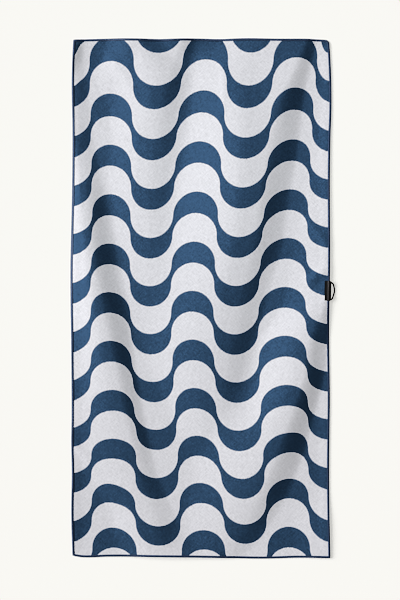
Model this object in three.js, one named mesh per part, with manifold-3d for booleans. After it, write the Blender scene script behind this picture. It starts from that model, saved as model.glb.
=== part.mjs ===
// A bath towel of 70 by 140 cm, lying face up on a flat surface in long soft folds.
// Millimetres, +Z up: X runs across the towel and Y up its length, from the foot hem to the head hem.
// The towel is one sheet of cloth with a bound edge all round. A label is folded over the right-hand
// edge, and both ends of an elastic hanging loop are held in the label's fold.
import * as THREE from "three";
import { mergeVertices } from "three/addons/utils/BufferGeometryUtils.js";
import Module from "manifold-3d";

// The towel as it lies, hem to hem, and the thicknesses of its cloth, tapes and cord.
const WIDTH = 700;
const LENGTH = 1405;
const CLOTH = 1.5;
const TAPE = 0.7;
const CORD = 4;
const GAP = 0.3;

// The binding covers this much of each face. The cloth's first row of points lies just inside it.
const BINDING = 6.5;
const CLOTH_EDGE = TAPE + GAP;
const MARGIN = 8;
const HEM_SETTLES = 25;

// Cloth that the folds would lift by less than this lies flat on the surface.
const SLACK = 0.7;

// The grid of the sheet, apart from the rows along its edges.
const CELLS_ACROSS = 36;
const CELLS_ALONG = 40;

// The corners: one is worn round, the other three are turned nearly square.
const CORNERS = [
  { a: 0, b: 0, radius: 3 },
  { a: WIDTH, b: 0, radius: 3 },
  { a: WIDTH, b: LENGTH, radius: 10 },
  { a: 0, b: LENGTH, radius: 3 },
];

// The hems are not quite straight: each row is one place along a hem.
const LEFT_HEM = [
  { y: 704, x: -345 },
  { y: 585, x: -349 },
  { y: 455, x: -347 },
  { y: 260, x: -348.5 },
  { y: 65, x: -352.5 },
  { y: -150, x: -350.5 },
  { y: -325, x: -349.5 },
  { y: -390, x: -350.5 },
  { y: -477, x: -349 },
  { y: -585, x: -350.5 },
  { y: -702, x: -347.5 },
];
const RIGHT_HEM = [
  { y: 704, x: 348.5 },
  { y: 630, x: 353 },
  { y: 530, x: 355 },
  { y: 433, x: 352 },
  { y: 330, x: 350.5 },
  { y: 110, x: 351 },
  { y: -22, x: 349 },
  { y: -109, x: 348.5 },
  { y: -260, x: 350.5 },
  { y: -455, x: 348.5 },
  { y: -586, x: 349.5 },
  { y: -702, x: 352 },
];
const HEAD_HEM = [
  { x: -350, y: 699.5 },
  { x: -250, y: 702 },
  { x: -110, y: 700.5 },
  { x: -13, y: 702.5 },
  { x: 52, y: 701 },
  { x: 117, y: 703 },
  { x: 204, y: 701.5 },
  { x: 302, y: 701 },
  { x: 350, y: 698.5 },
];
const FOOT_HEM = [
  { x: -350, y: -699 },
  { x: -325, y: -703 },
  { x: -250, y: -701.5 },
  { x: -78, y: -702.5 },
  { x: 85, y: -705.5 },
  { x: 160, y: -707 },
  { x: 270, y: -704.5 },
  { x: 350, y: -705.5 },
];

// The folds. Each row is one place along a fold: x is where its crest ends and the steep side starts,
// high its height, rise the width of the gentle side on the left, top the width of the flat crest and
// fall the width of the steep side on the right.
const FOLDS = [
  // Along the left hem, leaning inwards to the foot.
  [
    { y: 704, x: -354, high: 4, rise: 22, top: 5, fall: 49 },
    { y: 579, x: -340, high: 4, rise: 22, top: 5, fall: 56 },
    { y: 440, x: -332, high: 6, rise: 30, top: 5, fall: 56 },
    { y: 330, x: -318, high: 9, rise: 42, top: 6, fall: 66 },
    { y: 265, x: -312, high: 14, rise: 45, top: 8, fall: 70 },
    { y: 157, x: -301, high: 19, rise: 60, top: 8, fall: 76 },
    { y: 48, x: -285, high: 21, rise: 80, top: 8, fall: 78 },
    { y: -60, x: -262, high: 20, rise: 100, top: 11, fall: 80 },
    { y: -169, x: -238, high: 16, rise: 115, top: 14, fall: 70 },
    { y: -385, x: -194, high: 11, rise: 180, top: 16, fall: 70 },
    { y: -494, x: -168, high: 9, rise: 160, top: 16, fall: 74 },
    { y: -575, x: -142, high: 8, rise: 120, top: 16, fall: 90 },
    { y: -640, x: -132, high: 9, rise: 120, top: 16, fall: 105 },
    { y: -711, x: -95, high: 9, rise: 120, top: 16, fall: 130 },
  ],
  // From the middle of the head hem down its left half, low and broad.
  [
    { y: 704, x: -52, high: 8, rise: 81, top: 14, fall: 49 },
    { y: 639, x: -78, high: 8, rise: 120, top: 14, fall: 64 },
    { y: 536, x: -110, high: 11, rise: 130, top: 14, fall: 96 },
    { y: 428, x: -132, high: 11, rise: 125, top: 14, fall: 105 },
    { y: 319, x: -148, high: 9, rise: 120, top: 14, fall: 100 },
    { y: 238, x: -150, high: 7, rise: 110, top: 14, fall: 95 },
    { y: 157, x: -150, high: 5, rise: 108, top: 14, fall: 90 },
    { y: 48, x: -150, high: 3, rise: 108, top: 14, fall: 90 },
    { y: -60, x: -150, high: 0, rise: 108, top: 14, fall: 90 },
  ],
  // Broad, from the right of the head hem to the middle of the towel.
  [
    { y: 704, x: 285, high: 6, rise: 163, top: 95, fall: 38 },
    { y: 644, x: 261, high: 10, rise: 190, top: 122, fall: 51 },
    { y: 536, x: 212, high: 16, rise: 200, top: 85, fall: 82 },
    { y: 401, x: 180, high: 18, rise: 200, top: 60, fall: 100 },
    { y: 265, x: 155, high: 18, rise: 215, top: 44, fall: 100 },
    { y: 157, x: 142, high: 16, rise: 220, top: 38, fall: 100 },
    { y: 48, x: 114, high: 12, rise: 220, top: 30, fall: 100 },
    { y: -60, x: 94, high: 9, rise: 215, top: 30, fall: 92 },
    { y: -169, x: 70, high: 6, rise: 200, top: 27, fall: 85 },
    { y: -277, x: 55, high: 3, rise: 163, top: 27, fall: 85 },
    { y: -385, x: 50, high: 1, rise: 136, top: 27, fall: 85 },
    { y: -494, x: 45, high: 0, rise: 136, top: 27, fall: 85 },
  ],
  // The highest, from the right hem down to the middle of the foot hem.
  [
    { y: 536, x: 353, high: 2, rise: 68, top: 5, fall: 22 },
    { y: 401, x: 353, high: 3, rise: 85, top: 5, fall: 22 },
    { y: 265, x: 350, high: 4, rise: 115, top: 5, fall: 24 },
    { y: 157, x: 350, high: 5, rise: 135, top: 5, fall: 28 },
    { y: 102, x: 348, high: 6, rise: 140, top: 5, fall: 30 },
    { y: 48, x: 345, high: 7, rise: 145, top: 6, fall: 34 },
    { y: -6, x: 334, high: 9, rise: 135, top: 8, fall: 42 },
    { y: -60, x: 312, high: 12, rise: 135, top: 11, fall: 58 },
    { y: -114, x: 292, high: 15, rise: 150, top: 11, fall: 68 },
    { y: -223, x: 272, high: 17, rise: 160, top: 11, fall: 74 },
    { y: -331, x: 234, high: 18, rise: 180, top: 11, fall: 84 },
    { y: -440, x: 195, high: 17, rise: 220, top: 11, fall: 94 },
    { y: -548, x: 146, high: 13, rise: 220, top: 11, fall: 100 },
    { y: -656, x: 82, high: 7, rise: 160, top: 11, fall: 105 },
    { y: -711, x: 30, high: 6, rise: 140, top: 11, fall: 105 },
  ],
  // A short swell that lifts the head hem left of the middle.
  [
    { y: 704, x: -168, high: 12, rise: 90, top: 16, fall: 70 },
    { y: 660, x: -166, high: 13, rise: 100, top: 16, fall: 90 },
    { y: 600, x: -160, high: 9, rise: 130, top: 30, fall: 140 },
    { y: 540, x: -150, high: 5, rise: 120, top: 30, fall: 120 },
    { y: 480, x: -140, high: 3, rise: 120, top: 30, fall: 90 },
    { y: 420, x: -130, high: 0, rise: 120, top: 30, fall: 90 },
  ],
  // A very broad swell that the other folds ride on, down the middle.
  [
    { y: 704, x: 60, high: 1, rise: 200, top: 20, fall: 110 },
    { y: 600, x: 60, high: 3, rise: 200, top: 20, fall: 110 },
    { y: 450, x: 90, high: 5, rise: 260, top: 30, fall: 120 },
    { y: 300, x: 90, high: 7, rise: 300, top: 30, fall: 120 },
    { y: 150, x: 70, high: 8, rise: 290, top: 30, fall: 130 },
    { y: 0, x: 40, high: 8, rise: 260, top: 30, fall: 130 },
    { y: -150, x: 30, high: 8, rise: 210, top: 30, fall: 130 },
    { y: -300, x: 35, high: 6, rise: 140, top: 20, fall: 130 },
    { y: -400, x: 40, high: 3, rise: 120, top: 20, fall: 130 },
    { y: -500, x: 40, high: 0, rise: 110, top: 20, fall: 110 },
  ],
  // A low swell at the right-hand end of the foot hem.
  [
    { y: -480, x: 352, high: 0, rise: 140, top: 5, fall: 30 },
    { y: -540, x: 352, high: 2, rise: 140, top: 5, fall: 30 },
    { y: -620, x: 352, high: 5, rise: 140, top: 5, fall: 30 },
    { y: -711, x: 352, high: 4, rise: 140, top: 5, fall: 30 },
  ],
];

// The label tape: how far it reaches in from the hem and out past it, and its two ends along Y.
const LABEL_IN = 13.8;
const LABEL_OUT = 3.7;
const LABEL_FOOT = -4.5;
const LABEL_HEAD = 48.5;
const LABEL_CELLS = 3;
const LABEL_CLEAR = 4;
const LABEL_ROUND = 0.6;
const LABEL_STEP = { start: 7, width: 1.3 };
const LABEL_BULGE = { start: 2, lift: 0.25 };

// The hanging loop's middle line: how far out from the hem it is, and how far it has sunk from the
// height of the hem to the surface, from 0 to 1.
const LOOP_ROUTE = [
  { out: 0.4, y: 44.3, sunk: 0 },
  { out: 4.2, y: 44.3, sunk: 0 },
  { out: 7.2, y: 42.3, sunk: 0.1 },
  { out: 9.8, y: 38.4, sunk: 0.45 },
  { out: 11.6, y: 32.6, sunk: 0.8 },
  { out: 12.9, y: 25.6, sunk: 1 },
  { out: 12.6, y: 18.6, sunk: 1 },
  { out: 11.2, y: 12.6, sunk: 0.85 },
  { out: 9.2, y: 7, sunk: 0.5 },
  { out: 7, y: 1.4, sunk: 0.1 },
  { out: 4.2, y: -1, sunk: 0 },
  { out: 0.4, y: -1, sunk: 0 },
];
const LOOP_STEPS = 30;
const CORD_SIDES = 8;
const HOLE_SIDES = 12;

const { lerp, smoothstep } = THREE.MathUtils;

// A table as a function: it gives every other column at a value of the key column, on a smooth line
// through the rows.
function smoothTable(rows, key) {
  const columns = Object.keys(rows[0]).filter((name) => name !== key);
  const sorted = [...rows].sort((p, q) => p[key] - q[key]);
  const places = sorted.map((row) => row[key]);
  const values = sorted.flatMap((row) => columns.map((name) => row[name]));
  const line = new THREE.CubicInterpolant(places, values, columns.length);
  return (place) => {
    const found = line.evaluate(place);
    return Object.fromEntries(columns.map((name, i) => [name, found[i]]));
  };
}

const leftHem = smoothTable(LEFT_HEM, "y");
const rightHem = smoothTable(RIGHT_HEM, "y");
const headHem = smoothTable(HEAD_HEM, "x");
const footHem = smoothTable(FOOT_HEM, "x");
const folds = FOLDS.map((rows) => smoothTable(rows, "y"));

// How far a corner's round turn draws a point in, both across and along.
function cornerPull(a, b, corner) {
  const across = Math.abs(a - corner.a);
  const along = Math.abs(b - corner.b);
  const depth = Math.min(across, along);
  const nearness = Math.max(0, 1 - Math.abs(across - along) / corner.radius);
  return Math.max(0, corner.radius - depth) * (1 - Math.SQRT1_2) * nearness ** 2;
}

// Where a point of the flat towel lies in plan. a is measured from the left edge, b from the foot.
function spread(a, b) {
  const x = a - WIDTH / 2;
  const y = b - LENGTH / 2;
  const place = new THREE.Vector2(
    lerp(leftHem(y).x, rightHem(y).x, a / WIDTH),
    lerp(footHem(x).y, headHem(x).y, b / LENGTH),
  );
  for (const corner of CORNERS) {
    const pull = cornerPull(a, b, corner);
    place.x += corner.a > 0 ? -pull : pull;
    place.y += corner.b > 0 ? -pull : pull;
  }
  return place;
}

// The height of the cloth at a place in plan: the folds added up, then let down by their slack, with
// a soft bend where the cloth leaves the surface.
function foldHeight(x, y) {
  const raised = folds.reduce((height, fold) => {
    const { x: crest, high, rise, top, fall } = fold(y);
    const up = smoothstep(x, crest - top - rise, crest - top);
    const down = 1 - smoothstep(x, crest, crest + fall);
    return height + high * up * down;
  }, 0);
  const free = Math.max(0, raised - SLACK);
  return free < 2 * SLACK ? free ** 2 / (4 * SLACK) : free - SLACK;
}

// The height of the cloth's underside. Along the hems it stands on the binding's lower layer.
function underside(a, b) {
  const place = spread(a, b);
  const fromHem = Math.min(a, WIDTH - a, b, LENGTH - b);
  const lift = CLOTH_EDGE * (1 - smoothstep(fromHem, MARGIN, MARGIN + HEM_SETTLES));
  return foldHeight(place.x, place.y) + lift;
}

// A point on or near the cloth: off is measured up from its top, or down from its underside.
function nearCloth(a, b, face, off) {
  const place = spread(a, b);
  const height = underside(Math.min(a, WIDTH), b);
  return new THREE.Vector3(place.x, place.y, face === "over" ? height + CLOTH + off : height - off);
}

// Even steps from one value to another, both ends included.
function steps(from, to, count) {
  return Array.from({ length: count + 1 }, (_, i) => lerp(from, to, i / count));
}

// Places along one side of the towel: its two edges, the rows just inside the binding, even steps
// between those, and the rows that the label needs in place of the steps beside them.
function stations(size, cells, labelRows) {
  const even = steps(MARGIN, size - MARGIN, cells).filter((place) =>
    labelRows.every((row) => Math.abs(row - place) > LABEL_CLEAR),
  );
  return [CLOTH_EDGE, ...even, ...labelRows, size - CLOTH_EDGE].sort((p, q) => p - q);
}

const LABEL_ROWS = steps(LABEL_FOOT + LENGTH / 2, LABEL_HEAD + LENGTH / 2, LABEL_CELLS);
const ACROSS = stations(WIDTH, CELLS_ACROSS, [WIDTH - LABEL_IN]);
const ALONG = stations(LENGTH, CELLS_ALONG, LABEL_ROWS);

function solidGeometry(points, index) {
  const geometry = new THREE.BufferGeometry().setFromPoints(points);
  geometry.setIndex(index);
  geometry.computeVertexNormals();
  return geometry;
}

// The sheet of cloth: the same grid of points on its underside and on its top, closed at the edge.
function clothGeometry() {
  const columns = ACROSS.length;
  const rows = ALONG.length;
  const layer = columns * rows;
  const points = ["under", "over"].flatMap((face) =>
    ALONG.flatMap((b) => ACROSS.map((a) => nearCloth(a, b, face, 0))),
  );
  const index = [];
  for (let j = 0; j < rows - 1; j++) {
    for (let i = 0; i < columns - 1; i++) {
      const p = j * columns + i;
      const q = p + columns;
      index.push(p, q + 1, p + 1, p, q, q + 1);
      index.push(layer + p, layer + p + 1, layer + q + 1, layer + p, layer + q + 1, layer + q);
    }
  }
  const edge = [];
  for (let i = 0; i < columns - 1; i++) edge.push(i);
  for (let j = 0; j < rows - 1; j++) edge.push(j * columns + columns - 1);
  for (let i = columns - 1; i > 0; i--) edge.push((rows - 1) * columns + i);
  for (let j = rows - 1; j > 0; j--) edge.push(j * columns);
  edge.forEach((p, k) => {
    const q = edge[(k + 1) % edge.length];
    index.push(p, q, layer + q, p, layer + q, layer + p);
  });
  return solidGeometry(points, index);
}

// A solid through a row of like sections. A ring joins its last section to its first, and any other
// solid is closed by a flat cap at each end, whose outline is given in two dimensions.
function throughSections(sections, capOutline) {
  const size = sections[0].length;
  const count = sections.length;
  const last = capOutline ? count - 1 : count;
  const index = [];
  for (let k = 0; k < last; k++) {
    for (let m = 0; m < size; m++) {
      const p = k * size + m;
      const q = k * size + ((m + 1) % size);
      const next = (((k + 1) % count) - k) * size;
      index.push(p, q, q + next, p, q + next, p + next);
    }
  }
  if (capOutline) {
    const far = (count - 1) * size;
    for (const [p, q, r] of THREE.ShapeUtils.triangulateShape(capOutline, [])) {
      index.push(r, q, p, far + p, far + q, far + r);
    }
  }
  return solidGeometry(sections.flat(), index);
}

// Places round the outside edge, and the way in from each.
function edgeStations() {
  const across = ACROSS.slice(1, -1);
  const along = ALONG.slice(1, -1);
  return [
    { a: 0, b: 0, inA: 1, inB: 1 },
    ...across.map((a) => ({ a, b: 0, inA: 0, inB: 1 })),
    { a: WIDTH, b: 0, inA: -1, inB: 1 },
    ...along.map((b) => ({ a: WIDTH, b, inA: -1, inB: 0 })),
    { a: WIDTH, b: LENGTH, inA: -1, inB: -1 },
    ...across.toReversed().map((a) => ({ a, b: LENGTH, inA: 0, inB: -1 })),
    { a: 0, b: LENGTH, inA: 1, inB: -1 },
    ...along.toReversed().map((b) => ({ a: 0, b, inA: 1, inB: 0 })),
  ];
}

// The binding: a tape folded over the cloth's edge all the way round, a channel in section.
function bindingGeometry() {
  const channel = [
    { inset: 0, face: "under", off: GAP + TAPE },
    { inset: BINDING, face: "under", off: GAP + TAPE },
    { inset: BINDING, face: "under", off: GAP },
    { inset: TAPE, face: "under", off: GAP },
    { inset: TAPE, face: "over", off: GAP },
    { inset: BINDING, face: "over", off: GAP },
    { inset: BINDING, face: "over", off: GAP + TAPE },
    { inset: 0, face: "over", off: GAP + TAPE },
  ];
  const sections = edgeStations().map(({ a, b, inA, inB }) =>
    channel.map(({ inset, face, off }) => {
      return nearCloth(a + inA * inset, b + inB * inset, face, off);
    }),
  );
  return throughSections(sections);
}

// The label's section: a layer over the binding and the cloth, the fold, and a layer beneath. The fold
// bulges a little where it holds the cord.
function labelSection() {
  const { start, width } = LABEL_STEP;
  const overBinding = GAP + TAPE + GAP;
  const overCord = overBinding + LABEL_BULGE.lift;
  const bend = TAPE / 2;
  const inside = [
    { inset: LABEL_IN, off: GAP },
    { inset: start + width, off: GAP },
    { inset: start, off: overBinding },
    { inset: LABEL_BULGE.start, off: overBinding },
    { inset: 0, off: overCord },
    { inset: TAPE - LABEL_OUT, off: overCord },
  ];
  const outside = [
    { inset: LABEL_ROUND - LABEL_OUT, off: overCord + TAPE },
    { inset: 0, off: overCord + TAPE },
    { inset: LABEL_BULGE.start, off: overBinding + TAPE },
    { inset: start + bend, off: overBinding + TAPE },
    { inset: start + bend + width, off: GAP + TAPE },
    { inset: LABEL_IN, off: GAP + TAPE },
  ];
  const fold = { inset: -LABEL_OUT, off: overCord + TAPE - LABEL_ROUND };
  const onFace = (face) => (point) => ({ ...point, face });
  return [
    ...outside.toReversed().map(onFace("under")),
    onFace("under")(fold),
    onFace("over")(fold),
    ...outside.map(onFace("over")),
    ...inside.map(onFace("over")),
    ...inside.toReversed().map(onFace("under")),
  ];
}

const hemMiddle = (b) => nearCloth(WIDTH, b, "under", -CLOTH / 2);

// A merged copy of a geometry as a solid for cutting, and a cut solid as a geometry again.
const MERGE_WITHIN = 1e-4;
const wasm = await Module();
wasm.setup();

function toSolid(geometry) {
  const bare = geometry.clone();
  bare.deleteAttribute("normal");
  bare.deleteAttribute("uv");
  const merged = mergeVertices(bare, MERGE_WITHIN);
  return new wasm.Manifold(
    new wasm.Mesh({
      numProp: 3,
      vertProperties: merged.attributes.position.array,
      triVerts: new Uint32Array(merged.index.array),
    }),
  );
}

function toGeometry(solid) {
  const mesh = solid.getMesh();
  const geometry = new THREE.BufferGeometry();
  geometry.setAttribute("position", new THREE.BufferAttribute(mesh.vertProperties, 3));
  geometry.setIndex(new THREE.BufferAttribute(mesh.triVerts, 1));
  geometry.computeVertexNormals();
  return geometry;
}

// The label, with a round hole in its fold for each end of the hanging loop.
function labelGeometry() {
  const outline = labelSection();
  const sections = LABEL_ROWS.toReversed().map((b) =>
    outline.map(({ inset, face, off }) => nearCloth(WIDTH - inset, b, face, off)),
  );
  const cap = sections[0].map((point) => new THREE.Vector2(point.x, point.z));
  let label = toSolid(throughSections(sections, cap));
  for (const end of [LOOP_ROUTE.at(0), LOOP_ROUTE.at(-1)]) {
    const b = end.y + LENGTH / 2;
    const hole = new THREE.CylinderGeometry(CORD / 2 + GAP, CORD / 2 + GAP, 2 * TAPE, HOLE_SIDES);
    hole.rotateZ(Math.PI / 2);
    const middle = hemMiddle(b);
    hole.translate(middle.x + LABEL_OUT - TAPE / 2, middle.y, middle.z);
    label = label.subtract(toSolid(hole));
  }
  return toGeometry(label);
}

// The hanging loop: round elastic cord, straight where it leaves the label, then out and down. A full
// circle takes two sides for each curve segment.
function loopGeometry() {
  const resting = CORD / 2 + GAP;
  const route = LOOP_ROUTE.map(({ out, y, sunk }) => {
    const middle = hemMiddle(y + LENGTH / 2);
    return new THREE.Vector3(middle.x + out, middle.y, lerp(middle.z, resting, sunk));
  });
  const section = new THREE.Shape().absarc(0, 0, CORD / 2, 0, 2 * Math.PI);
  return new THREE.ExtrudeGeometry(section, {
    extrudePath: new THREE.CatmullRomCurve3(route),
    steps: LOOP_STEPS,
    curveSegments: CORD_SIDES / 2,
  });
}

function piece(name, geometry, color, roughness) {
  const material = new THREE.MeshStandardMaterial({ color, roughness, metalness: 0 });
  const mesh = new THREE.Mesh(geometry, material);
  mesh.name = name;
  return mesh;
}

const towel = new THREE.Group();
towel.add(
  piece("towel_cloth", clothGeometry(), 0xd7d8dd, 0.95),
  piece("edge_binding", bindingGeometry(), 0x22335a, 0.85),
  piece("label_tab", labelGeometry(), 0x17171a, 0.8),
  piece("hanging_loop", loopGeometry(), 0x141416, 0.75),
);

// The origin goes to the middle of the footprint, on the surface the towel lies on.
const bounds = new THREE.Box3().setFromObject(towel, true);
const centre = bounds.getCenter(new THREE.Vector3());
towel.position.set(-centre.x, -centre.y, -bounds.min.z);

export default towel;
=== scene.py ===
# %% [markdown]
# # A printed bath towel, lying in long soft folds
#
# The towel is one thin sheet of quick-dry cloth, 70 by 140 cm, with navy binding round its edge and a
# small elastic loop to hang it by. Its solids are already made. They set where every piece lies, so
# this lesson starts from them as a fixed frame and builds the finished pieces on the same places.

import math

import bpy
import numpy as np
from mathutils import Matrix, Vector


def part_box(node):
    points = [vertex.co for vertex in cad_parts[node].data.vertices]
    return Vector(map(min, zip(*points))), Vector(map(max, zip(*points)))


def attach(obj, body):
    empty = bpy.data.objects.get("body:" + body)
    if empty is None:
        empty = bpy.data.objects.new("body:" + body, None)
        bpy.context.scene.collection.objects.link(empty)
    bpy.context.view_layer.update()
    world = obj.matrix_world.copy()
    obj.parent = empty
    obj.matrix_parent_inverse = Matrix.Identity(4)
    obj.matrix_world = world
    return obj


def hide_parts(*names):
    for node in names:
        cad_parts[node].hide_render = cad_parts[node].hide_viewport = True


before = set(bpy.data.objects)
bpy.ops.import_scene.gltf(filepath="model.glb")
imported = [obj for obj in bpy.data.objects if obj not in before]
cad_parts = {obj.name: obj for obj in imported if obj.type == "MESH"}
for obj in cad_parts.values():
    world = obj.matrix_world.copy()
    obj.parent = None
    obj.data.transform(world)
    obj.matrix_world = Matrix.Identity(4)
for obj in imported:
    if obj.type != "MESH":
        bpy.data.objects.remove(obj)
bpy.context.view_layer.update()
print("solids:", sorted(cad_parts))

# %% [markdown]
# ## The sizes of the pieces
#
# A maker would write these on the cutting sheet. Everything is in metres, and mm turns a size that is
# easier to read in millimetres. The cloth is thin and firm, the binding is a narrow tape folded over
# its edge, and the cord of the loop is four millimetres thick.

# %% Driving sizes
mm = 0.001
WIDTH = 700 * mm
LENGTH = 1405 * mm
CLOTH = 1.5 * mm
TAPE = 0.7 * mm
CORD = 4 * mm
GAP = 0.3 * mm
BINDING = 6.5 * mm
CLOTH_EDGE = TAPE + GAP
print("flat cloth: %.0f by %.0f mm, %.1f mm thick" % (WIDTH / mm, LENGTH / mm, CLOTH / mm))

# %% [markdown]
# ## A short table as a smooth line
#
# The folds of a real towel change slowly along their length. It would be possible to sculpt them, but
# then nobody could read or change their sizes. Instead each fold is a few rows of sizes, and this
# helper draws a smooth line through the rows: at each row the slope is the mean of the slopes to its
# two neighbours, and past the ends the last value holds.


# %% Smooth tables
def smooth_line(keys, values):
    """A function of a key: a smooth line through the rows of values, given in any order."""
    order = np.argsort(keys)
    x = np.asarray(keys, float)[order]
    y = np.asarray(values, float)[order]

    def line(key):
        return between_rows(x, y[None], np.ravel(key)).reshape(np.shape(key) + y.shape[1:])

    return line


def between_rows(x, rows, key):
    """Values at the keys, one for each, on smooth lines through the rows at x.

    rows has one set of rows for all the keys, or a set of its own for each key."""
    h = np.diff(x)
    secants = np.diff(rows, axis=1) / h.reshape(-1, *[1] * (rows.ndim - 2))
    slopes = np.concatenate([
        secants[:, :1], (secants[:, 1:] + secants[:, :-1]) / 2, secants[:, -1:],
    ], axis=1)
    key = np.clip(key, x[0], x[-1])
    i = np.clip(np.searchsorted(x, key) - 1, 0, len(x) - 2)
    own = np.arange(len(key)) if len(rows) > 1 else np.zeros(len(key), int)
    shape = (-1, *[1] * (rows.ndim - 2))
    step = h[i].reshape(shape)
    t = ((key - x[i]) / h[i]).reshape(shape)
    start = (2 * t**3 - 3 * t**2 + 1) * rows[own, i] + (t**3 - 2 * t**2 + t) * step * slopes[own, i]
    end = (3 * t**2 - 2 * t**3) * rows[own, i + 1] + (t**3 - t**2) * step * slopes[own, i + 1]
    return start + end


def table_line(rows):
    """A smooth line for a table in millimetres whose first column is the key."""
    table = np.array(rows, float) * mm
    return smooth_line(table[:, 0], table[:, 1:])


def smoothstep(value, low, high):
    """0 below low, 1 above high, and a smooth rise between them."""
    t = np.clip((value - low) / (high - low), 0, 1)
    return t * t * (3 - 2 * t)


# %% [markdown]
# ## The hems
#
# No towel lies with perfectly straight edges. They could be drawn as curves, but a short table is
# easier to read and change. Each row gives one place along a hem, in millimetres from the middle of
# the towel: Y and X for the two long hems, X and Y for the head and the foot. A scratch program found
# them on the photo's outline. One corner is worn round and the others are nearly square. A row of
# CORNERS is a corner of the flat cloth and its radius.

# %% Where the hems lie
LEFT_HEM = table_line([
    (704, -345), (585, -349), (455, -347), (260, -348.5), (65, -352.5), (-150, -350.5),
    (-325, -349.5), (-390, -350.5), (-477, -349), (-585, -350.5), (-702, -347.5),
])
RIGHT_HEM = table_line([
    (704, 348.5), (630, 353), (530, 355), (433, 352), (330, 350.5), (110, 351), (-22, 349),
    (-109, 348.5), (-260, 350.5), (-455, 348.5), (-586, 349.5), (-702, 352),
])
HEAD_HEM = table_line([
    (-350, 699.5), (-250, 702), (-110, 700.5), (-13, 702.5), (52, 701), (117, 703),
    (204, 701.5), (302, 701), (350, 698.5),
])
FOOT_HEM = table_line([
    (-350, -699), (-325, -703), (-250, -701.5), (-78, -702.5), (85, -705.5), (160, -707),
    (270, -704.5), (350, -705.5),
])
CORNERS = [
    (0, 0, 3 * mm),
    (WIDTH, 0, 3 * mm),
    (WIDTH, LENGTH, 10 * mm),
    (0, LENGTH, 3 * mm),
]


# %% From the flat cloth to the plan
CORNER_PULL = 1 - math.sqrt(0.5)


def in_plan(a, b):
    """Where a point of the flat towel lies, seen from above: a from the left edge, b from the foot."""
    x, y = a - WIDTH / 2, b - LENGTH / 2
    left, right = LEFT_HEM(y)[..., 0], RIGHT_HEM(y)[..., 0]
    foot, head = FOOT_HEM(x)[..., 0], HEAD_HEM(x)[..., 0]
    plan_x = left + (right - left) * a / WIDTH
    plan_y = foot + (head - foot) * b / LENGTH
    for corner_a, corner_b, radius in CORNERS:
        across, along = abs(a - corner_a), abs(b - corner_b)
        nearness = np.maximum(0, 1 - abs(across - along) / radius)
        depth = np.maximum(0, radius - np.minimum(across, along))
        pull = depth * CORNER_PULL * nearness**2
        plan_x = plan_x + (-pull if corner_a else pull)
        plan_y = plan_y + (-pull if corner_b else pull)
    return plan_x, plan_y


print("middle of the flat cloth in plan: %.1f, %.1f mm" % tuple(
    place / mm for place in in_plan(WIDTH / 2, LENGTH / 2)))


# %% [markdown]
# ## The folds
#
# Four long soft folds cross the towel, each gentle on its left and steeper on its right, and three low
# swells lie under them. A row is one place along a fold, in millimetres: its Y, the X where the crest
# ends and the steep side starts, the height, the width of the gentle side, of the flat top and of the
# steep side. Cloth is heavy, so a fold that is hardly raised lies flat: SLACK is what the weight takes
# back.

# %% Fold sizes
LEFT_FOLD = [
    (704, -354, 4, 22, 5, 49), (579, -340, 4, 22, 5, 56), (440, -332, 6, 30, 5, 56),
    (330, -318, 9, 42, 6, 66), (265, -312, 14, 45, 8, 70), (157, -301, 19, 60, 8, 76),
    (48, -285, 21, 80, 8, 78), (-60, -262, 20, 100, 11, 80), (-169, -238, 16, 115, 14, 70),
    (-385, -194, 11, 180, 16, 70), (-494, -168, 9, 160, 16, 74), (-575, -142, 8, 120, 16, 90),
    (-640, -132, 9, 120, 16, 105), (-711, -95, 9, 120, 16, 130),
]
HEAD_FOLD = [
    (704, -52, 8, 81, 14, 49), (639, -78, 8, 120, 14, 64), (536, -110, 11, 130, 14, 96),
    (428, -132, 11, 125, 14, 105), (319, -148, 9, 120, 14, 100), (238, -150, 7, 110, 14, 95),
    (157, -150, 5, 108, 14, 90), (48, -150, 3, 108, 14, 90), (-60, -150, 0, 108, 14, 90),
]
BROAD_FOLD = [
    (704, 285, 6, 163, 95, 38), (644, 261, 10, 190, 122, 51), (536, 212, 16, 200, 85, 82),
    (401, 180, 18, 200, 60, 100), (265, 155, 18, 215, 44, 100), (157, 142, 16, 220, 38, 100),
    (48, 114, 12, 220, 30, 100), (-60, 94, 9, 215, 30, 92), (-169, 70, 6, 200, 27, 85),
    (-277, 55, 3, 163, 27, 85), (-385, 50, 1, 136, 27, 85), (-494, 45, 0, 136, 27, 85),
]
RIGHT_FOLD = [
    (536, 353, 2, 68, 5, 22), (401, 353, 3, 85, 5, 22), (265, 350, 4, 115, 5, 24),
    (157, 350, 5, 135, 5, 28), (102, 348, 6, 140, 5, 30), (48, 345, 7, 145, 6, 34),
    (-6, 334, 9, 135, 8, 42), (-60, 312, 12, 135, 11, 58), (-114, 292, 15, 150, 11, 68),
    (-223, 272, 17, 160, 11, 74), (-331, 234, 18, 180, 11, 84), (-440, 195, 17, 220, 11, 94),
    (-548, 146, 13, 220, 11, 100), (-656, 82, 7, 160, 11, 105), (-711, 30, 6, 140, 11, 105),
]

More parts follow.
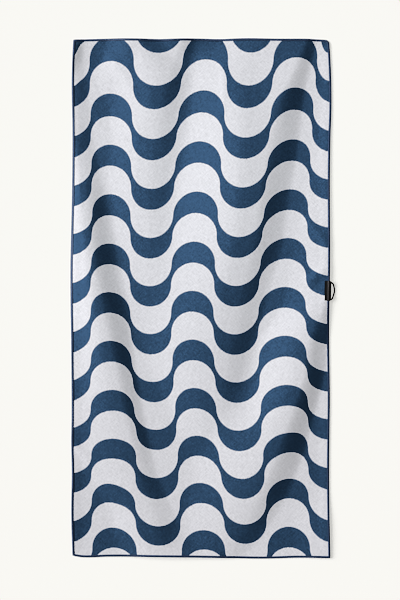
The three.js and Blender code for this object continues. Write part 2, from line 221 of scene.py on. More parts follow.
# %% Sizes of the low swells
TOP_SWELL = [
    (704, -168, 12, 90, 16, 70), (660, -166, 13, 100, 16, 90), (600, -160, 9, 130, 30, 140),
    (540, -150, 5, 120, 30, 120), (480, -140, 3, 120, 30, 90), (420, -130, 0, 120, 30, 90),
]
MIDDLE_SWELL = [
    (704, 60, 1, 200, 20, 110), (600, 60, 3, 200, 20, 110), (450, 90, 5, 260, 30, 120),
    (300, 90, 7, 300, 30, 120), (150, 70, 8, 290, 30, 130), (0, 40, 8, 260, 30, 130),
    (-150, 30, 8, 210, 30, 130), (-300, 35, 6, 140, 20, 130), (-400, 40, 3, 120, 20, 130),
    (-500, 40, 0, 110, 20, 110),
]
FOOT_SWELL = [
    (-480, 352, 0, 140, 5, 30), (-540, 352, 2, 140, 5, 30), (-620, 352, 5, 140, 5, 30),
    (-711, 352, 4, 140, 5, 30),
]

# %% Height of the folds
SLACK = 0.7 * mm
FOLDS = [table_line(rows) for rows in (
    LEFT_FOLD, HEAD_FOLD, BROAD_FOLD, RIGHT_FOLD, TOP_SWELL, MIDDLE_SWELL, FOOT_SWELL,
)]


def fold_height(x, y):
    """How high the folds lift the cloth's underside at places in plan."""
    raised = np.zeros(np.shape(x))
    for fold in FOLDS:
        crest, high, rise, top, fall = np.moveaxis(fold(y), -1, 0)
        up = smoothstep(x, crest - top - rise, crest - top)
        down = 1 - smoothstep(x, crest, crest + fall)
        raised += high * up * down
    free = np.maximum(0, raised - SLACK)
    return np.where(free < 2 * SLACK, free**2 / (4 * SLACK), free - SLACK)


print("folds and swells:", len(FOLDS))

# %% [markdown]
# ## Small creases
#
# Besides its long folds the cloth has a few small creases, where a hem was sewn or a hand pulled. They
# are too slight for the solid, so they are added here. A sculpting brush would do it too, but a row of
# sizes can be moved later. A row is one crease, in millimetres: X and Y of its start, X and Y of its
# end, how high it stands and how far it spreads to either side. It fades out towards both its ends.

# %% Small creases
CREASES = [
    (-326, 712, -360, 598, 4.5, 13), (-276, 705, -170, 535, 1.5, 15), (63, 650, 60, 470, 1, 11),
    (285, 216, 356, 130, 1.8, 13), (280, 34, 352, 92, 2.4, 14), (-358, -372, -296, -450, 1.6, 11),
    (-352, 330, -340, -20, 3, 16),
]


def crease_height(x, y):
    """How high the small creases lift the cloth at places in plan."""
    raised = np.zeros(np.shape(x))
    for crease in CREASES:
        from_x, from_y, to_x, to_y, high, spread = np.array(crease) * mm
        run_x, run_y = to_x - from_x, to_y - from_y
        t = ((x - from_x) * run_x + (y - from_y) * run_y) / (run_x**2 + run_y**2)
        t = np.clip(t, 0, 1)
        aside = np.hypot(x - from_x - t * run_x, y - from_y - t * run_y)
        raised += high * 4 * t * (1 - t) * np.exp(-(aside / spread) ** 2)
    return raised


print("small creases:", len(CREASES))

# %% [markdown]
# ## Placing the cloth in the frame
#
# The tables count from the middle of the towel, while the frame's origin is in the middle of the
# whole object's footprint, with the hanging loop included. The binding's solid shows how far apart
# the two are. Along the hems the cloth stands on the binding's lower layer, so it is lifted there over
# a margin, and then settles on to the table.

# %% From the plan to the frame
def hem_outline(count=400):
    """Points round the outside edge of the towel in plan."""
    across, along = np.linspace(0, WIDTH, count), np.linspace(0, LENGTH, count)
    sides = [
        in_plan(across, np.full(count, 0.0)),
        in_plan(across, np.full(count, LENGTH)),
        in_plan(np.full(count, 0.0), along),
        in_plan(np.full(count, WIDTH), along),
    ]
    return np.hstack([np.vstack(side) for side in sides])


outline = hem_outline()
low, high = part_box("edge_binding")
SHIFT_X = (low.x + high.x - outline[0].min() - outline[0].max()) / 2
SHIFT_Y = (low.y + high.y - outline[1].min() - outline[1].max()) / 2
print("from the towel's middle to the frame's origin: %.1f, %.1f mm" % (SHIFT_X / mm, SHIFT_Y / mm))

# %% Height of the cloth
MARGIN = 8 * mm
HEM_SETTLES = 25 * mm


def underside(a, b):
    """The height of the cloth's underside at places on the flat cloth."""
    from_hem = np.minimum(np.minimum(a, WIDTH - a), np.minimum(b, LENGTH - b))
    lift = CLOTH_EDGE * (1 - smoothstep(from_hem, MARGIN, MARGIN + HEM_SETTLES))
    place = in_plan(a, b)
    return fold_height(*place) + crease_height(*place) + lift


def near_cloth(a, b, off):
    """Points in the frame, at a height off above the cloth's underside."""
    x, y = in_plan(a, b)
    z = underside(np.clip(a, 0, WIDTH), np.clip(b, 0, LENGTH)) + off
    return np.stack([x + SHIFT_X, y + SHIFT_Y, z], axis=-1)


print("middle of the cloth: %.1f mm up" % (near_cloth(WIDTH / 2, LENGTH / 2, CLOTH)[2] / mm))


# %% [markdown]
# ## Helpers for shaping meshes
#
# A grid primitive gives clean rows of faces. These helpers make such a grid, whose two coordinates run
# from 0 to 1 across and along, send each of its vertices to a place worked out from them, and write UV
# maps from any pair of values at the vertices. The others apply a modifier, mend a mesh, smooth it,
# measure along a line and count faces. Each job is done more than once, so each is written once here.


# %% Grid helpers
def select_only(piece):
    """Make a piece the only one selected, and the active one."""
    bpy.ops.object.select_all(action="DESELECT")
    piece.select_set(True)
    bpy.context.view_layer.objects.active = piece


def new_grid(name, cells_u, cells_v):
    """A flat grid from 0 to 1 both ways, and its two coordinates at each vertex."""
    bpy.ops.object.select_all(action="DESELECT")
    bpy.ops.mesh.primitive_grid_add(
        x_subdivisions=cells_u, y_subdivisions=cells_v, size=1, location=(0.5, 0.5, 0)
    )
    bpy.ops.object.transform_apply(location=True)
    piece = bpy.context.object
    piece.name = piece.data.name = name
    while piece.data.uv_layers:
        piece.data.uv_layers.remove(piece.data.uv_layers[0])
    flat = np.zeros(len(piece.data.vertices) * 3)
    piece.data.vertices.foreach_get("co", flat)
    u, v = flat.reshape(-1, 3)[:, :2].T
    return piece, np.round(u * cells_u) / cells_u, np.round(v * cells_v) / cells_v


def place_vertices(piece, places):
    """Send each vertex to its place."""
    piece.data.vertices.foreach_set("co", np.asarray(places, float).ravel())
    piece.data.update()


def write_uv(piece, name, u, v):
    """Write a UV map from a pair of values at each vertex."""
    layer = piece.data.uv_layers.new(name=name)
    corners = np.zeros(len(piece.data.loops), int)
    piece.data.loops.foreach_get("vertex_index", corners)
    layer.data.foreach_set("uv", np.stack([u[corners], v[corners]], axis=-1).ravel())


def apply_modifier(piece, kind, **settings):
    """Add a modifier with its settings, and apply it."""
    select_only(piece)
    modifier = piece.modifiers.new(kind.title(), kind)
    for key, value in settings.items():
        setattr(modifier, key, value)
    bpy.ops.object.modifier_apply(modifier=modifier.name)


# %% Mesh helpers
WELD = 0.01 * mm


def mend(piece, weld=True, cap_sides=0):
    """Weld vertices that meet, close holes of so many sides, and turn the faces outwards."""
    select_only(piece)
    bpy.ops.object.mode_set(mode="EDIT")
    bpy.ops.mesh.select_all(action="SELECT")
    if weld:
        bpy.ops.mesh.remove_doubles(threshold=WELD)
    if cap_sides:
        bpy.ops.mesh.select_all(action="DESELECT")
        bpy.ops.mesh.select_non_manifold()
        bpy.ops.mesh.fill_holes(sides=cap_sides)
        bpy.ops.mesh.select_all(action="SELECT")
    bpy.ops.mesh.normals_make_consistent(inside=False)
    bpy.ops.object.mode_set(mode="OBJECT")


def smooth_under(piece, degrees):
    """Shade smooth across edges that bend by less than so many degrees."""
    select_only(piece)
    bpy.ops.object.shade_smooth_by_angle(angle=math.radians(degrees))


def distance_along(points):
    """How far each point of a line is from its start."""
    return np.cumsum([0] + [math.dist(p, q) for p, q in zip(points, points[1:])])


def faces_of(piece):
    """A piece's name and number of faces, to print."""
    return "%s: %d faces" % (piece.name, len(piece.data.polygons))


# %% [markdown]
# ## How the print lies
#
# The print is the old wave of seaside pavements: rows of half circles, turned up and down by turns.
# One half wave is 118 mm wide and the rows are 130.5 mm apart. Cloth stretches as it is handled, so
# the printed columns lean and bow sideways, and the rows creep up towards the head. A straight print
# would be simpler, but the eye would see at once that nobody had handled the towel. Both tables are
# in millimetres. Each row is a height on the towel, and then how far the print has moved there at
# seven places across: to the right in DRIFT and up in CREEP. These values were not set by eye. A
# scratch program compared the photo's print with an earlier picture, and what it measured was thinned
# out, rounded and typed in. The hems, corners and folds pull the print out of that run: a row of PULLS
# is a place, how far round it the pull is felt, across and along, and how far it moves the print to
# the right and up. PULLS was set by trial against the same measurements.

# %% The lie of the print
HALF_WAVE = 118 * mm
ROW = 130.5 * mm
FIRST_JOIN = -295 * mm
MIDDLE_ROW = 5
ACROSS = np.array([-345, -245, -130, -10, 115, 240, 345]) * mm
DRIFT = table_line([
    (700, -6, -8, 5, 17, 19, 24, 29), (585, -1, -8, -1, 10, 13, 19, 15),
    (440, 3, -7, -9, -2, 4, 11, 2), (300, 6, -7, -13, -10, -4, 1, -4),
    (165, 9, -8, -16, -17, -13, -7, -6), (20, 6, -9, -18, -23, -21, -14, -4),
    (-120, 3, -6, -16, -22, -23, -13, -4), (-260, -4, -2, -8, -16, -18, -9, 0),
    (-400, -3, 0, 0, -8, -12, -6, -2), (-540, 1, -1, 1, 1, 1, -2, -1),
    (-700, -1, 4, 5, 10, 7, 3, 2),
])
CREEP = table_line([
    (700, 68, 69, 74, 77, 77, 73, 71), (600, 60, 53, 58, 59, 58, 64, 71),
    (510, 54, 42, 46, 51, 48, 57, 66), (370, 48, 38, 39, 45, 42, 50, 64),
    (160, 48, 32, 35, 37, 37, 48, 65), (-120, 44, 30, 36, 33, 36, 45, 64),
    (-330, 43, 27, 37, 33, 36, 42, 67), (-440, 50, 28, 38, 35, 36, 46, 66),
    (-540, 54, 37, 36, 37, 37, 50, 60), (-620, 51, 46, 38, 38, 43, 48, 52),
    (-700, 50, 47, 43, 43, 46, 47, 49),
])
print("the print: %.1f waves across, %.1f rows" % (WIDTH / HALF_WAVE / 2, LENGTH / ROW))

# %% Pulls on the print
PULLS = [
    (-312, 0, 20, 800, 0, 3.5), (-348, 0, 14, 800, 0, -3), (-305, 230, 30, 110, 3, 0),
    (310, 0, 24, 800, -0.5, 3.5), (348, 0, 12, 800, 1.5, -2), (338, 640, 20, 80, -3, -9),
    (-322, 600, 18, 60, 1.5, 3), (-346, 610, 12, 60, 0, -6), (-324, 686, 16, 30, 0, 13),
    (-344, 674, 16, 30, 0, -4), (340, 680, 12, 24, -2, -4), (20, 670, 50, 40, 0, -3.5),
    (-186, -390, 38, 60, 4, -3), (-262, -508, 30, 60, 0, 3.5), (-207, -530, 34, 46, 1, -4.5),
    (195, -420, 32, 50, 0, -3), (272, -375, 28, 50, 1.5, 4),
]


def print_lie(x, y):
    """The wave column and the row at places in plan: columns count half waves, rows count down."""
    drift, creep = between_rows(ACROSS, DRIFT(y), x), between_rows(ACROSS, CREEP(y), x)
    for pull in PULLS:
        at_x, at_y, across, along, right, up = np.array(pull) * mm
        felt = np.exp(-((x - at_x) / across) ** 2 - ((y - at_y) / along) ** 2)
        drift = drift + right * felt
        creep = creep + up * felt
    return 0.5 + (x - drift - FIRST_JOIN) / HALF_WAVE, MIDDLE_ROW - (y - creep) / ROW


print("at the towel's middle: column %.2f, row %.2f" % tuple(
    float(place[0]) for place in print_lie(np.zeros(1), np.zeros(1))))


# %% [markdown]
# ## The sheet
#
# The cloth could be draped by simulation, but its folds are known, and a simulation would not stop
# in them. So the sheet starts as a flat grid at its real size, and each point is carried to its place
# on the folds. Two UV maps keep what the cloth remembers: where each point was on the flat cloth, for
# the weave, and where it is in the print. Solidify then gives it its thickness, downwards.

# %% Cloth sheet
CELL = 5 * mm
sheet, u, v = new_grid("towel_sheet", round(WIDTH / CELL), round(LENGTH / CELL))
a = CLOTH_EDGE + u * (WIDTH - 2 * CLOTH_EDGE)
b = CLOTH_EDGE + v * (LENGTH - 2 * CLOTH_EDGE)
place_vertices(sheet, near_cloth(a, b, CLOTH))
write_uv(sheet, "flat", a, b)
write_uv(sheet, "print", *print_lie(*in_plan(a, b)))
apply_modifier(sheet, "SOLIDIFY", thickness=CLOTH, offset=-1)
smooth_under(sheet, 50)
print(faces_of(sheet))

# %% [markdown]
# ## The binding
#
# The edge is bound with a narrow navy tape, folded over the cloth and sewn through. A curve with this
# profile would do for the straight sides, but not for the corners. So the tape too starts flat, as it
# comes off its roll: a long grid as wide as the tape. Each row of it is folded round the edge of the
# cloth, in a channel with a round back, and the two ends meet and are welded. The corners are mitred,
# because there the tape runs inwards along both sides at once.

# %% Places round the edge
def edge_places(step):
    """Places round the edge, foot first, with the way in from each: a, b, in_a and in_b."""
    across = np.linspace(0, WIDTH, round(WIDTH / step) + 1)[1:-1]
    along = np.linspace(0, LENGTH, round(LENGTH / step) + 1)[1:-1]
    # A place on either side of each corner, as far from it as the tape is wide, keeps the mitre narrow.
    across = across[(across > BINDING) & (across < WIDTH - BINDING)]
    across = np.concatenate([[BINDING], across, [WIDTH - BINDING]])
    along = along[(along > BINDING) & (along < LENGTH - BINDING)]
    along = np.concatenate([[BINDING], along, [LENGTH - BINDING]])
    sides = [
        [(0, 0, 1, 1)], [(s, 0, 0, 1) for s in across],
        [(WIDTH, 0, -1, 1)], [(WIDTH, s, -1, 0) for s in along],
        [(WIDTH, LENGTH, -1, -1)], [(s, LENGTH, 0, -1) for s in across[::-1]],
        [(0, LENGTH, 1, -1)], [(0, s, 1, 0) for s in along[::-1]],
    ]
    return np.array([place for side in sides for place in side])


EDGE_STEP = 6 * mm
places = edge_places(EDGE_STEP)
print("places round the edge:", len(places))

# %% Folded tape
# The outside of the channel from its lower inner edge, round the back, to its upper inner edge:
# how far in from the edge of the towel, and how high above the cloth's underside.
TAPE_TURN = 1.75 * mm
TAPE_TOP = CLOTH + GAP + TAPE
TAPE_FOOT = -GAP - TAPE
PROFILE = [
    (BINDING, TAPE_FOOT), (BINDING * 0.66, TAPE_FOOT), (TAPE_TURN, TAPE_FOOT),
    (TAPE_TURN * 0.5, TAPE_FOOT + 0.25 * mm), (TAPE_TURN * 0.12, TAPE_FOOT + 0.9 * mm),
    (0, CLOTH / 2), (TAPE_TURN * 0.12, TAPE_TOP - 0.9 * mm),
    (TAPE_TURN * 0.5, TAPE_TOP - 0.25 * mm), (TAPE_TURN, TAPE_TOP),
    (BINDING * 0.45, TAPE_TOP + 0.25 * mm), (BINDING * 0.66, TAPE_TOP + 0.1 * mm),
    (BINDING * 0.85, TAPE_TOP - 0.15 * mm), (BINDING, TAPE_TOP - 0.3 * mm),
]
across_tape = distance_along(PROFILE)
print("tape: %.1f mm wide, opened out" % (across_tape[-1] / mm))

# %% Bound edge
inset, off = np.array(PROFILE).T
rows = len(places)
binding, u, v = new_grid("bound_edge", len(PROFILE) - 1, rows)
column = np.round(u * (len(PROFILE) - 1)).astype(int)
row = np.round(v * rows).astype(int)
edge_a, edge_b, in_a, in_b = places[row % rows].T
a = edge_a + in_a * inset[column]
b = edge_b + in_b * inset[column]
place_vertices(binding, near_cloth(a, b, off[column]))
tape_length = 2 * (WIDTH + LENGTH)
round_edge = np.append(distance_along(places[:, :2]), tape_length)
write_uv(binding, "tape", across_tape[column], round_edge[row])
mend(binding)
apply_modifier(binding, "SOLIDIFY", thickness=TAPE, offset=-1, use_even_offset=False)
smooth_under(binding, 50)
print(faces_of(binding), "%.2f m of tape" % tape_length)

# %% [markdown]
# ## The label
#
# A short black tape with a plain grey stripe is folded over the right-hand edge, binding and all. It
# carries no words. It could be a bent strip with a Bevel, but then it would cut into the binding. So
# it is a grid again, with its rows across the tape: each row is wrapped round the edge, stepping up
# from the cloth on to the binding on both sides.

# %% Folded label
LABEL_TAPE = 0.6 * mm
LABEL_IN = 13.8 * mm
LABEL_OUT = 3.7 * mm
LABEL_FOOT = LENGTH / 2 - 4.5 * mm
LABEL_HEAD = LENGTH / 2 + 48.5 * mm
ON_CLOTH = GAP + TAPE
ON_BINDING = GAP + TAPE + GAP + TAPE
OVER_CORD = ON_BINDING + 0.25 * mm
# The upper half of the wrap, from its inner end outwards: how far in from the edge of the towel, and
# how high above the cloth's underside. The lower half mirrors it.
half_wrap = [
    (LABEL_IN, CLOTH + ON_CLOTH), (10 * mm, CLOTH + ON_CLOTH), (8.6 * mm, CLOTH + ON_CLOTH),
    (7.6 * mm, CLOTH + (ON_CLOTH + ON_BINDING) / 2), (6.6 * mm, CLOTH + ON_BINDING),
    (4.5 * mm, CLOTH + ON_BINDING), (2.2 * mm, CLOTH + ON_BINDING), (0, CLOTH + OVER_CORD),
    (-1.5 * mm, CLOTH + OVER_CORD), (-3 * mm, CLOTH + OVER_CORD - 0.3 * mm),
    (-3.5 * mm, CLOTH + OVER_CORD - 1.2 * mm), (-LABEL_OUT, CLOTH / 2),
]
wrap = half_wrap + [(inset, CLOTH - off) for inset, off in half_wrap[-2::-1]]
across_label = distance_along(wrap)
print("label: %.0f mm long, %.0f mm opened out" % (
    (LABEL_HEAD - LABEL_FOOT) / mm, across_label[-1] / mm))

# %% Woven label
LABEL_ROWS = 22
inset, off = np.array(wrap).T
label, u, v = new_grid("woven_label", len(wrap) - 1, LABEL_ROWS)
column = np.round(u * (len(wrap) - 1)).astype(int)
b = LABEL_FOOT + v * (LABEL_HEAD - LABEL_FOOT)
place_vertices(label, near_cloth(WIDTH - inset[column], b, off[column]))
write_uv(label, "tape", across_label[column] - across_label[-1] / 2, b - LENGTH / 2)
mend(label, weld=False)
apply_modifier(label, "SOLIDIFY", thickness=LABEL_TAPE, offset=-1)
smooth_under(label, 40)
print(faces_of(label))

# %% [markdown]
# ## The hanging loop
#
# Both ends of a round elastic cord are caught in the fold of the label. The cord comes out level with
# the hem and sinks to the table in a wide D. A row of its route says how far out from the hem it is
# and its Y, in millimetres, and how far it has sunk, from 0 to 1. A curve with a round bevel would be
# quicker, but its skin would be plain. Here the tube is a grid closed into a pipe, whose skin swells a
# little where the strands of the braid pass over one another.

# %% Route of the cord
LOOP_ROUTE = [
    (0.4, 44.3, 0), (4.2, 44.3, 0), (7.2, 42.3, 0.1), (9.8, 38.4, 0.45), (11.6, 32.6, 0.8),
    (12.9, 25.6, 1), (12.6, 18.6, 1), (11.2, 12.6, 0.85), (9.2, 7, 0.5), (7, 1.4, 0.1),
    (4.2, -1, 0), (0.4, -1, 0),
]


def hem_middle(b):
    """The middle of the cloth's thickness at its right-hand edge."""
    return near_cloth(np.full(np.shape(b), WIDTH), b, CLOTH / 2)


def loop_line():
    """The middle line of the cord, and its length."""
    out, y, sunk = np.array(LOOP_ROUTE).T
    line = hem_middle(y * mm + LENGTH / 2)
    line[:, 0] += out * mm
    line[:, 2] += (CORD / 2 - line[:, 2]) * sunk
    gone = np.cumsum(np.append(0, np.linalg.norm(np.diff(line, axis=0), axis=1)))
    return smooth_line(gone, line), gone[-1]


route, loop_length = loop_line()
print("cord %.0f mm long" % (loop_length / mm))

# %% Elastic loop
BRAID_STRANDS = 6
BRAID_LAY = 7 * mm
BRAID_DEPTH = 0.06
CORD_SIDES = 18
CORD_STEPS = 150
NEARBY = 0.2 * mm
loop, u, v = new_grid("elastic_loop", CORD_SIDES, CORD_STEPS)
along = v * loop_length
middle = route(along)
ahead = route(along + NEARBY) - route(along - NEARBY)
ahead /= np.linalg.norm(ahead, axis=1)[:, None]
side = np.cross(ahead, (0, 0, 1))
side /= np.linalg.norm(side, axis=1)[:, None]
top = np.cross(side, ahead)
turn = 2 * math.pi * u
lay = 2 * math.pi * along / BRAID_LAY
swell = np.cos(BRAID_STRANDS * turn / 2 + lay) * np.cos(BRAID_STRANDS * turn / 2 - lay)
radius = CORD / 2 * (1 - BRAID_DEPTH + BRAID_DEPTH * swell)
ring = np.cos(turn)[:, None] * side + np.sin(turn)[:, None] * top
place_vertices(loop, middle + radius[:, None] * ring)
write_uv(loop, "cord", u * BRAID_STRANDS, along)
mend(loop, cap_sides=CORD_SIDES)
smooth_under(loop, 60)
print(faces_of(loop))

# %% [markdown]
# ## Node helpers
#
# Shader nodes can be placed by hand, but a repeated sum of small steps is easier to follow in code.
# These helpers feed a node, add one, work out a sum, tone a colour, and make a group, a copy of it and
# a material.


# %% Node helpers
def feed(tree, node, inputs):
    """Link or set the inputs of a node, each by its name or number."""
    for key, value in inputs.items():
        socket = node.inputs[key]
        if isinstance(value, bpy.types.NodeSocket):
            tree.links.new(value, socket)
        else:
            socket.default_value = value


def add_node(tree, kind, inputs=None, **settings):
    """A new node with its settings made and its inputs fed."""
    node = tree.nodes.new(kind)
    for key, value in settings.items():
        setattr(node, key, value)
    feed(tree, node, inputs or {})
    return node


def maths(tree, operation, *values):
    """The output of a Math node."""
    return add_node(tree, "ShaderNodeMath", dict(enumerate(values)), operation=operation).outputs[0]


def new_group(name, inputs, outputs):
    """A shader node group with named inputs and outputs, each with its kind of socket."""
    tree = bpy.data.node_groups.new(name, "ShaderNodeTree")
    for direction, sockets in (("INPUT", inputs), ("OUTPUT", outputs)):
        for socket, kind in sockets.items():
            tree.interface.new_socket(socket, in_out=direction, socket_type="NodeSocket" + kind)
    return tree, tree.nodes.new("NodeGroupInput").outputs, tree.nodes.new("NodeGroupOutput").inputs


def place_group(tree, group, **inputs):
    """The outputs of a copy of a group, whose inputs are fed."""
    return add_node(tree, "ShaderNodeGroup", inputs, node_tree=group).outputs


def times_colour(tree, colour, tone):
    """A colour, darkened or lightened by a tone."""
    inputs = {0: colour, "Scale": tone}
    return add_node(tree, "ShaderNodeVectorMath", inputs, operation="SCALE").outputs[0]


def new_material(name):
    """A material with only its Principled BSDF and output, and its node tree."""
    material = bpy.data.materials.new(name)
    material.use_nodes = True
    tree = material.node_tree
    return material, tree, tree.nodes["Principled BSDF"]


# %% [markdown]
# ## The weave
#
# Quick-dry cloth has a fine crossed weave, whose ribs run both ways along the diagonals and are never
# quite even. An image would show its tiles. This group stretches one noise along each diagonal and
# puts out a height for the bump and a tone that lightens and darkens the colour by a little. The tone
# is the height less a half, so where the height also feeds a bump it is painted shade in the low parts
# of the ribs and a painted highlight on their crests. It takes the flat cloth's coordinates, and the
# width and length of a rib, all in metres, so the weave follows the cloth over the folds.

# %% Weave group
weave, given, put_out = new_group(
    "Crossed weave",
    {"Cloth": "Vector", "Rib": "Float", "Length": "Float"},
    {"Height": "Float", "Tone": "Float"},
)
ribs = []
for diagonal in (math.pi / 4, -math.pi / 4):
    turned = add_node(
        weave, "ShaderNodeVectorRotate",
        {"Vector": given["Cloth"], "Angle": diagonal}, rotation_type="Z_AXIS",
    ).outputs[0]
    parts = add_node(weave, "ShaderNodeSeparateXYZ", {0: turned}).outputs
    stretched = add_node(weave, "ShaderNodeCombineXYZ", {
        0: maths(weave, "DIVIDE", parts[0], given["Rib"]),
        1: maths(weave, "DIVIDE", parts[1], given["Length"]),
    }).outputs[0]
    ribs.append(add_node(weave, "ShaderNodeTexNoise", {
        "Vector": stretched, "Scale": 1.0, "Detail": 1.0, "Roughness": 0.5,
    }, noise_dimensions="2D").outputs[0])
mean = maths(weave, "MULTIPLY", maths(weave, "ADD", *ribs), 0.5)
weave.links.new(mean, put_out["Height"])
# The tone is the height less a half: painted shade where the ribs are low and a painted highlight on
# their crests, wherever the same ribs feed a bump.
weave.links.new(maths(weave, "SUBTRACT", mean, 0.5), put_out["Tone"])
print("weave group:", len(weave.nodes), "nodes")

# %% [markdown]
# ## The wave print
#
# The print could be drawn as an image, but its rule is short. Within one half wave, the height of a
# half circle over the middle is the square root of 1 minus the square of the distance. Every second
# half circle is turned down. Subtracting that from the row number makes each band a plain stripe, and
# a stripe is blue for a fixed share of its row. A little noise roughens the edge, as ink does in cloth.
# The sizes here are shares of a row: the height of a half circle, the blue, and half the blue's edge.

# %% Print group
WAVE_HEIGHT = 0.453
BLUE_SHARE = 0.43
INK_EDGE = 0.006

printed, given, put_out = new_group(
    "Wave print", {"Print": "Vector", "Ragged": "Float"}, {"Blue": "Float"}
)
parts = add_node(printed, "ShaderNodeSeparateXYZ", {0: given["Print"]}).outputs
nearest = maths(printed, "ROUND", parts[0])
aside = maths(printed, "MULTIPLY", maths(printed, "SUBTRACT", parts[0], nearest), 2)
circle = maths(printed, "SQRT", maths(printed, "MAXIMUM", 0, maths(
    printed, "SUBTRACT", 1, maths(printed, "MULTIPLY", aside, aside))))
odd = maths(printed, "FLOORED_MODULO", nearest, 2)
turned = maths(printed, "MULTIPLY_ADD", odd, -2 * WAVE_HEIGHT, WAVE_HEIGHT)
stripe = maths(printed, "SUBTRACT", parts[1], maths(printed, "MULTIPLY", turned, circle))
stripe = maths(printed, "ADD", stripe, given["Ragged"])
# A blue stripe ends at a row line. Its middle is half its share before that line.
centred = maths(printed, "FRACT", maths(printed, "ADD", stripe, 0.5 + BLUE_SHARE / 2))
away = maths(printed, "ABSOLUTE", maths(printed, "SUBTRACT", centred, 0.5))
blue = add_node(printed, "ShaderNodeMapRange", {
    "Value": away, "From Min": BLUE_SHARE / 2 - INK_EDGE, "From Max": BLUE_SHARE / 2 + INK_EDGE,
    "To Min": 1.0, "To Max": 0.0,
}, interpolation_type="SMOOTHSTEP").outputs[0]
printed.links.new(blue, put_out["Blue"])
print("print group:", len(printed.nodes), "nodes")

# %% [markdown]
# ## The printed cloth
#
# The cloth is off-white, cool and matt, with the navy blue ink sunk into it. The weave group is placed
# twice: with long ribs, and with short flecks, single threads that are lighter or darker at random.
# Both colours carry the two tones, and the flecks show more in the ink. The ribs' tone follows their
# bump, so besides their uneven grain it is painted shade in their low parts and a painted highlight on
# their crests. The ribs' height feeds the bump, since ribs this fine would need millions of faces. The
# underside is the same cloth, where the ink has come through only faintly.

# %% Colours and weave of the cloth
WHITE_CLOTH = (0.627, 0.624, 0.664, 1)
BLUE_INK = (0.0215, 0.057, 0.118, 1)
FAINT_INK = (0.30, 0.345, 0.43, 1)
RIB_WIDTH = 3 * mm
RIB_LENGTH = 16 * mm
FLECK_WIDTH = 3.4 * mm
FLECK_LENGTH = 4.6 * mm
# How much the ribs' tone, their grain with painted shade and highlight, darkens and lightens the
# colour.
RIB_SHADE_AND_GRAIN = 0.52
FLECK_TONE = 0.28
MORE_IN_INK = 0.17
RAGGED_INK = 0.02
RIB_HEIGHT = 0.6 * mm
RIB_BUMP = 0.5
CLOTH_ROUGH = 0.85
CLOTH_SHINE = 0.12


# %% Cloth finishes
def cloth_finish(name, ink):
    """The cloth's finish, printed with an ink of this colour."""
    material, tree, shader = new_material(name)
    flat = add_node(tree, "ShaderNodeUVMap", uv_map="flat").outputs[0]
    print_at = add_node(tree, "ShaderNodeUVMap", uv_map="print").outputs[0]
    ribs = place_group(tree, weave, Cloth=flat, Rib=RIB_WIDTH, Length=RIB_LENGTH)
    flecks = place_group(tree, weave, Cloth=flat, Rib=FLECK_WIDTH, Length=FLECK_LENGTH)
    ragged = maths(tree, "MULTIPLY", ribs["Tone"], RAGGED_INK)
    blue = place_group(tree, printed, Print=print_at, Ragged=ragged)["Blue"]
    colour = add_node(tree, "ShaderNodeMix", {
        "Factor": blue, "A": WHITE_CLOTH, "B": ink,
    }, data_type="RGBA").outputs["Result"]
    fleck_tone = maths(tree, "MULTIPLY_ADD", blue, MORE_IN_INK, FLECK_TONE)
    # The ribs' tone is painted shade in their low parts and a painted highlight on their crests, as
    # their bump is; the flecks' tone is grain alone.
    tone = maths(tree, "MULTIPLY_ADD", ribs["Tone"], RIB_SHADE_AND_GRAIN, 1.0)
    tone = maths(tree, "MULTIPLY_ADD", flecks["Tone"], fleck_tone, tone)
    bump = add_node(tree, "ShaderNodeBump", {
        "Height": ribs["Height"], "Strength": RIB_BUMP, "Distance": RIB_HEIGHT,
    })
    feed(tree, shader, {
        "Base Color": times_colour(tree, colour, tone), "Normal": bump.outputs[0],
        "Roughness": CLOTH_ROUGH, "Specular IOR Level": CLOTH_SHINE,
    })
    return material


sheet.data.materials.clear()
sheet.data.materials.append(cloth_finish("printed_cloth", BLUE_INK))
sheet.data.materials.append(cloth_finish("cloth_underside", FAINT_INK))
print("finishes of the cloth:", sheet.data.materials.keys())

# %% Underside faces take the second finish
FACES_DOWN = -0.2
normals = np.zeros(len(sheet.data.polygons) * 3)
sheet.data.polygons.foreach_get("normal", normals)
facing_down = (normals.reshape(-1, 3)[:, 2] < FACES_DOWN).astype(np.int32)
sheet.data.polygons.foreach_set("material_index", facing_down)
print("faces that face down:", int(facing_down.sum()))

# %% [markdown]
# ## The trimmings
#
# The binding is navy tape with fine ribs across it, which the tape's own UV map places. The label is
# black, with a plain grey woven stripe down the middle of its upper face. The cord is black too. Their
# ribs are finer than the cloth is thick, so a sine wave and a little noise in the bump show them as
# well as modelled threads would. The same noise darkens and lightens the colour: it is uneven at
# random, as thread is, and since it follows the bump it is also painted shade where the bump is low
# and a painted highlight where it is high. One function makes all three finishes.


# %% Trimming finishes
THREAD_NOISE = 400
# How much the threads' grain, with its painted shade and highlight, darkens and lightens the colour.
THREAD_SHADE_AND_GRAIN = 0.5
THREAD_HEIGHT = 0.3 * mm
THREAD_BUMP = 0.4
TRIM_SHINE = 0.25


